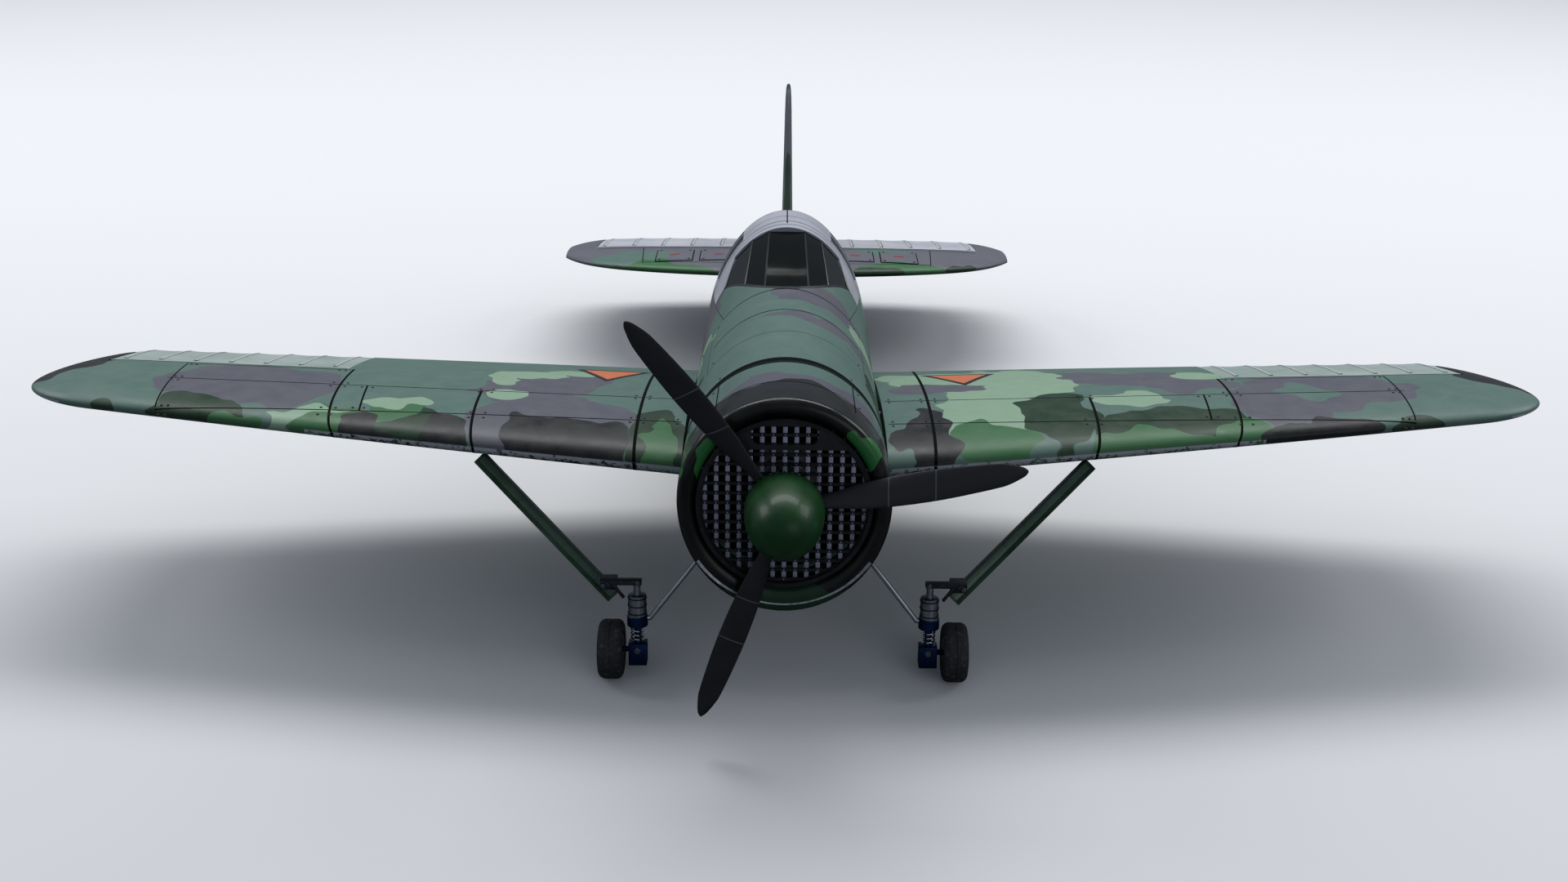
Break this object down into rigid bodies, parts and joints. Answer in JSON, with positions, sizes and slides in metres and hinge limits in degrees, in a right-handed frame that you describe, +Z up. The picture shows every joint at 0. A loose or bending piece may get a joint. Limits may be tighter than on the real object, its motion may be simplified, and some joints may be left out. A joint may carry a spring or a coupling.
{
  "type": "radio-controlled model aircraft",
  "caption": "Propeller-driven radio-controlled warbird model on a tail-wheel undercarriage, with strutted gear, working controls, sliding canopy and lift-off hatch.",
  "frame": {"origin": "middle of the footprint box, on the surface the three wheels stand on", "axes": "+X to the right seen from the front along the span, +Y aft, +Z up; the aircraft stands 11 degrees nose-up"},
  "size_m": [1.3996, 1.0461, 0.3611],
  "materials": {
    "camouflage_paint": "satin painted foam and sheet, camouflage in greens and slate",
    "cowl_paint": "satin painted moulding",
    "control_fabric": "painted fabric over ribs",
    "tinted_glass": "dark tinted clear plastic",
    "spinner_green": "gloss dark green",
    "propeller_black": "matte charcoal moulded nylon",
    "grille_metal": "thin painted slats",
    "gear_steel": "turned steel",
    "gear_chrome": "polished",
    "gear_blue": "blue anodised",
    "tyre_rubber": "dusty rubber",
    "plywood": "light plywood",
    "black_plastic": "moulded",
    "motor_metal": "machined",
    "battery_wrap": "shrink sleeve",
    "carbon_tube": "carbon fibre tube",
    "seat_brown": "seat",
    "brass_nut": "turned"
  },
  "bodies": {
    "airframe": {"fuselage_shell": "camouflage_paint", "fuselage_formers": "plywood", "firewall": "plywood", "engine_cowl": "cowl_paint", "cowl_grille": "grille_metal", "motor_mount": "motor_metal", "motor_stator": "motor_metal", "speed_controller": "black_plastic", "battery": "battery_wrap", "battery_tray": "plywood", "receiver": "black_plastic", "radio_servos": "black_plastic", "cockpit_tub": "black_plastic", "instrument_panel": "black_plastic", "pilot_seat": "seat_brown", "windscreen_frame": "camouflage_paint", "windscreen_glass": "tinted_glass", "wing_tube": "carbon_tube", "wing_bolts": "black_plastic", "wing_left": "camouflage_paint", "wing_right": "camouflage_paint", "tailplane": "camouflage_paint", "tail_covers": "camouflage_paint", "fin": "camouflage_paint", "rudder_pins": "gear_steel", "wing_strut_left": "camouflage_paint", "wing_strut_right": "camouflage_paint", "gear_bracket_left": "gear_steel", "gear_bracket_right": "gear_steel", "brace_rod_left": "gear_chrome", "brace_rod_right": "gear_chrome", "oleo_cylinder_left": "gear_steel", "oleo_cylinder_right": "gear_steel", "oleo_spring_left": "gear_chrome", "oleo_spring_right": "gear_chrome", "tail_wheel_bracket": "gear_steel"},
    "propeller_group": {"motor_bell": "motor_metal", "propeller": "propeller_black", "spinner": "spinner_green", "spinner_backplate": "spinner_green", "prop_nut": "brass_nut"},
    "hatch": {"top_hatch": "camouflage_paint"},
    "canopy": {"sliding_canopy": "camouflage_paint", "canopy_glass": "tinted_glass"},
    "left_aileron": {"aileron_left": "control_fabric", "aileron_torque_rod_left": "gear_steel"},
    "right_aileron": {"aileron_right": "control_fabric", "aileron_torque_rod_right": "gear_steel"},
    "elevators": {"elevator_left": "control_fabric", "elevator_right": "control_fabric", "elevator_joiner": "gear_steel"},
    "rudder_group": {"rudder": "control_fabric"},
    "tail_fork": {"tail_wheel_fork": "gear_steel"},
    "tail_wheel_group": {"tail_wheel": "tyre_rubber"},
    "left_lower_leg": {"axle_block_left": "gear_blue"},
    "right_lower_leg": {"axle_block_right": "gear_blue"},
    "left_wheel": {"wheel_hub_left": "motor_metal", "tyre_left": "tyre_rubber"},
    "right_wheel": {"wheel_hub_right": "motor_metal", "tyre_right": "tyre_rubber"}
  },
  "joints": [
    {"name": "propeller_spin", "type": "hinge", "parent": "airframe", "child": "propeller_group", "pos_m": [0, -0.4528, 0.21148], "axis": [0, 0.9816, -0.1908], "continuous": true},
    {"name": "aileron_right_hinge", "type": "hinge", "parent": "airframe", "child": "right_aileron", "pos_m": [0.425, -0.14704, 0.17158], "axis": [0.9984, -0.0145, 0.0542], "range_deg": [-22, 22]},
    {"name": "aileron_left_hinge", "type": "hinge", "parent": "airframe", "child": "left_aileron", "pos_m": [-0.425, -0.14704, 0.17158], "axis": [-0.9984, -0.0145, 0.0542], "range_deg": [-22, 22]},
    {"name": "elevator_hinge", "type": "hinge", "parent": "airframe", "child": "elevators", "pos_m": [0, 0.3621, 0.10625], "axis": [1, 0, 0], "range_deg": [-22, 22]},
    {"name": "rudder_hinge", "type": "hinge", "parent": "airframe", "child": "rudder_group", "pos_m": [0, 0.44779, 0.13829], "axis": [0, 0.1908, 0.9816], "range_deg": [-25, 25]},
    {"name": "tail_wheel_steer", "type": "hinge", "parent": "airframe", "child": "tail_fork", "pos_m": [0, 0.37581, 0.03004], "axis": [0, 0.1908, 0.9816], "range_deg": [-25, 25]},
    {"name": "tail_wheel_spin", "type": "hinge", "parent": "tail_fork", "child": "tail_wheel_group", "pos_m": [0, 0.38045, 0.012], "axis": [1, 0, 0], "continuous": true},
    {"name": "oleo_left_slide", "type": "slide", "parent": "airframe", "child": "left_lower_leg", "axis": [0, 0.1908, 0.9816], "range_m": [0, 0.008], "stiffness_N_per_m": 2500, "springref_m": -0.01, "deforming": ["oleo_spring_left"]},
    {"name": "wheel_left_spin", "type": "hinge", "parent": "left_lower_leg", "child": "left_wheel", "pos_m": [-0.1285, -0.38688, 0.0265], "axis": [1, 0, 0], "continuous": true},
    {"name": "oleo_right_slide", "type": "slide", "parent": "airframe", "child": "right_lower_leg", "axis": [0, 0.1908, 0.9816], "range_m": [0, 0.008], "stiffness_N_per_m": 2500, "springref_m": -0.01, "deforming": ["oleo_spring_right"]},
    {"name": "wheel_right_spin", "type": "hinge", "parent": "right_lower_leg", "child": "right_wheel", "pos_m": [0.1285, -0.38688, 0.0265], "axis": [1, 0, 0], "continuous": true},
    {"name": "canopy_slide", "type": "slide", "parent": "airframe", "child": "canopy", "axis": [0, 0.9816, -0.1908], "range_m": [0, 0.085]},
    {"name": "hatch_lift", "type": "slide", "parent": "airframe", "child": "hatch", "axis": [0, 0.1908, 0.9816], "range_m": [0, 0.08]}
  ],
  "couplings": [
    {"joint": "aileron_left_hinge", "follows": "aileron_right_hinge", "ratio": 1},
    {"joint": "tail_wheel_steer", "follows": "rudder_hinge", "ratio": 1}
  ]
}
